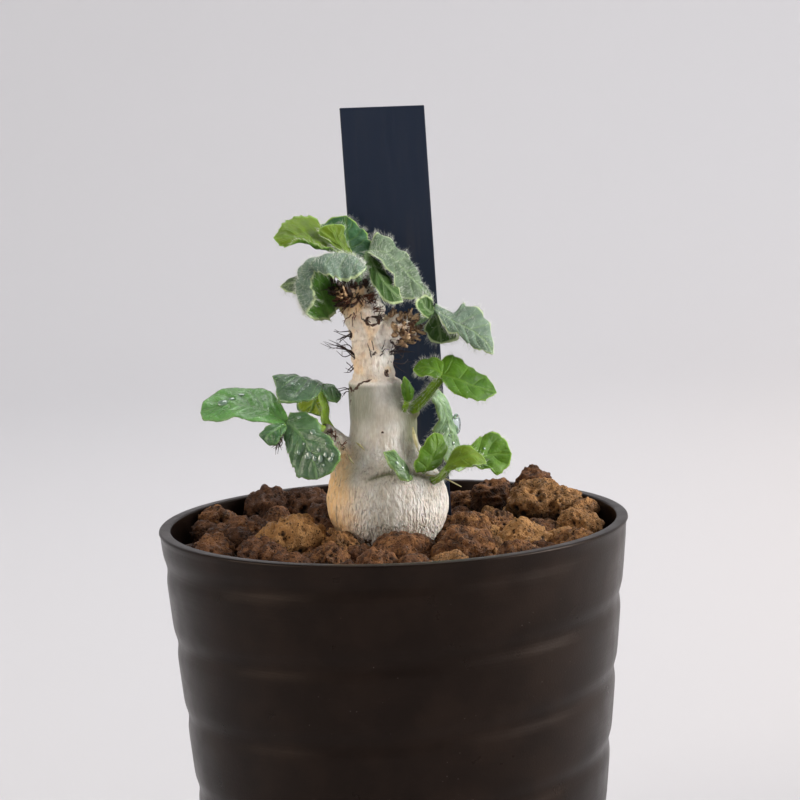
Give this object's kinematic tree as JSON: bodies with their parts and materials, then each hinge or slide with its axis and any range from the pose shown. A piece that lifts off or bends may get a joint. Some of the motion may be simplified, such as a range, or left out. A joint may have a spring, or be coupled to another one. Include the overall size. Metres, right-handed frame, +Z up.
{
  "type": "potted jatropha",
  "caption": "Young jatropha with a swollen pale stem and lobed, scalloped leaves in coarse granular soil, in a round dark plastic pot with a plain upright plant label.",
  "frame": {"origin": "centre of the pot's foot, on the surface that it stands on", "axes": "+Z up along the pot's axis, +X to the right of the plant's front, +Y behind it, where the label stands"},
  "size_m": [0.09, 0.09, 0.1627],
  "materials": {
    "pot_plastic": "satin dark brown-black plastic",
    "label_plastic": "satin blue-black plastic",
    "granules": "rough, porous, damp red-brown lava and clay granules",
    "bark": "thin cream bark with fine cracks, grey-olive and tan patches and dark scars",
    "leaf_deep_green": "dark green leaf with a wet sheen and pale veins",
    "leaf_grey_green": "grey-green velvety leaf with short white hairs",
    "leaf_fresh_green": "bright green young leaf with faint veins"
  },
  "bodies": {
    "root": {"pot": "pot_plastic", "soil": "granules", "caudex": "bark", "plant_label": "label_plastic", "crown_back_leaf": "leaf_fresh_green", "crown_right_leaf": "leaf_grey_green", "crown_front_leaf": "leaf_grey_green", "stub_leaf": "leaf_grey_green", "mid_right_leaf": "leaf_fresh_green", "mid_bud_leaf": "leaf_fresh_green", "mid_back_leaf": "leaf_grey_green", "low_left_leaf": "leaf_grey_green", "low_mid_leaf": "leaf_fresh_green", "low_right_leaf": "leaf_fresh_green", "left_palm_leaf": "leaf_deep_green", "left_top_leaf": "leaf_deep_green"}
  },
  "joints": []
}
